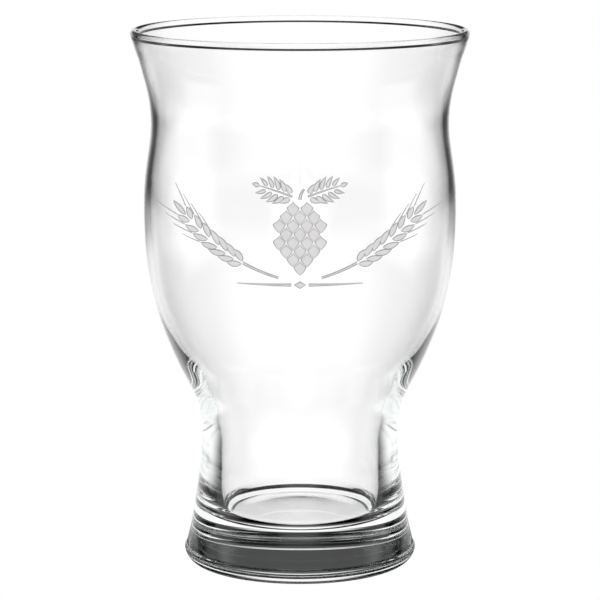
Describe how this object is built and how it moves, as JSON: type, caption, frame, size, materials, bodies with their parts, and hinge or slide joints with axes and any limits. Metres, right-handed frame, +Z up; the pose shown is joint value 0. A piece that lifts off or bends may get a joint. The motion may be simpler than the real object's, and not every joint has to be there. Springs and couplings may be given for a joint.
{
  "type": "pint glass",
  "caption": "Clear beer glass with a flared rim, rounded bowl, narrow waist and thick solid foot, with a frosted hop and barley print.",
  "frame": {"origin": "on the glass's axis, on the plane its foot stands on", "axes": "+Z up along the glass's axis from foot to rim; the print faces -Y; +X is to the right as seen from the front"},
  "size_m": [0.0892, 0.0892, 0.1429],
  "materials": {
    "clear_glass": "clear soda-lime glass, fire polished",
    "frosted_enamel": "matt frosted enamel, fired on"
  },
  "bodies": {
    "root": {"glass_body": "clear_glass", "enamel_hop_cone": "frosted_enamel", "enamel_leaf_left": "frosted_enamel", "enamel_leaf_right": "frosted_enamel", "enamel_barley_left": "frosted_enamel", "enamel_barley_right": "frosted_enamel", "enamel_rule": "frosted_enamel"}
  },
  "joints": []
}
